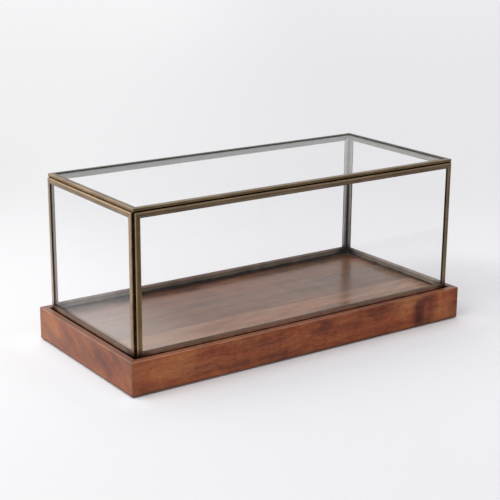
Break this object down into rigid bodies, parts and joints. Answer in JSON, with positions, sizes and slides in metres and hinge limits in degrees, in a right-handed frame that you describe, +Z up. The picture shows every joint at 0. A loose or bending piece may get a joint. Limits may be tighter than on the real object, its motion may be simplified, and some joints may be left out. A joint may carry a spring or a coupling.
{
  "type": "display case",
  "caption": "Long rectangular tabletop display case: a brass-edged clear glass cover that lifts off a recessed, mitred wooden base.",
  "frame": {"origin": "centre of the base's footprint, on the surface that its foot pads stand on", "axes": "+X along the case's length, -Y towards the front long side, +Z up"},
  "size_m": [0.5, 0.235, 0.217],
  "materials": {
    "rail_wood": "satin lacquer over figured reddish-brown hardwood",
    "floor_wood": "gloss lacquer over straight-grained boards",
    "inner_wood": "plain, unfinished",
    "clear_glass": "clear, polished",
    "antique_brass": "aged bronze-brown patina, satin",
    "dark_solder": "blackened solder",
    "seat_felt": "thin dark felt",
    "pad_felt": "thin brown felt",
    "screw_brass": "plain"
  },
  "bodies": {
    "base": {"base_rail_back": "rail_wood", "base_rail_front": "rail_wood", "base_rail_left": "rail_wood", "base_rail_right": "rail_wood", "batten_screws": "screw_brass", "floor_batten_left": "inner_wood", "floor_batten_right": "inner_wood", "floor_board_back": "floor_wood", "floor_board_front": "floor_wood", "floor_board_middle": "floor_wood", "foot_pad_back_left": "pad_felt", "foot_pad_back_right": "pad_felt", "foot_pad_front_left": "pad_felt", "foot_pad_front_right": "pad_felt", "mitre_spline_back_left": "inner_wood", "mitre_spline_back_right": "inner_wood", "mitre_spline_front_left": "inner_wood", "mitre_spline_front_right": "inner_wood", "rail_screws": "screw_brass"},
    "cover": {"back_channel_bottom": "antique_brass", "back_channel_left": "antique_brass", "back_channel_right": "antique_brass", "back_channel_top": "antique_brass", "back_glass": "clear_glass", "corner_seam_back_left": "dark_solder", "corner_seam_back_right": "dark_solder", "corner_seam_front_left": "dark_solder", "corner_seam_front_right": "dark_solder", "front_channel_bottom": "antique_brass", "front_channel_left": "antique_brass", "front_channel_right": "antique_brass", "front_channel_top": "antique_brass", "front_glass": "clear_glass", "left_channel_bottom": "antique_brass", "left_channel_left": "antique_brass", "left_channel_right": "antique_brass", "left_channel_top": "antique_brass", "left_glass": "clear_glass", "right_channel_bottom": "antique_brass", "right_channel_left": "antique_brass", "right_channel_right": "antique_brass", "right_channel_top": "antique_brass", "right_glass": "clear_glass", "seat_strip_back": "seat_felt", "seat_strip_front": "seat_felt", "seat_strip_left": "seat_felt", "seat_strip_right": "seat_felt", "top_channel_back": "antique_brass", "top_channel_front": "antique_brass", "top_channel_left": "antique_brass", "top_channel_right": "antique_brass", "top_glass": "clear_glass", "top_seam_back": "dark_solder", "top_seam_front": "dark_solder", "top_seam_left": "dark_solder", "top_seam_right": "dark_solder"}
  },
  "joints": [
    {"name": "cover_lift", "type": "slide", "parent": "base", "child": "cover", "axis": [0, 0, 1], "range_m": [0, 0.2]}
  ]
}
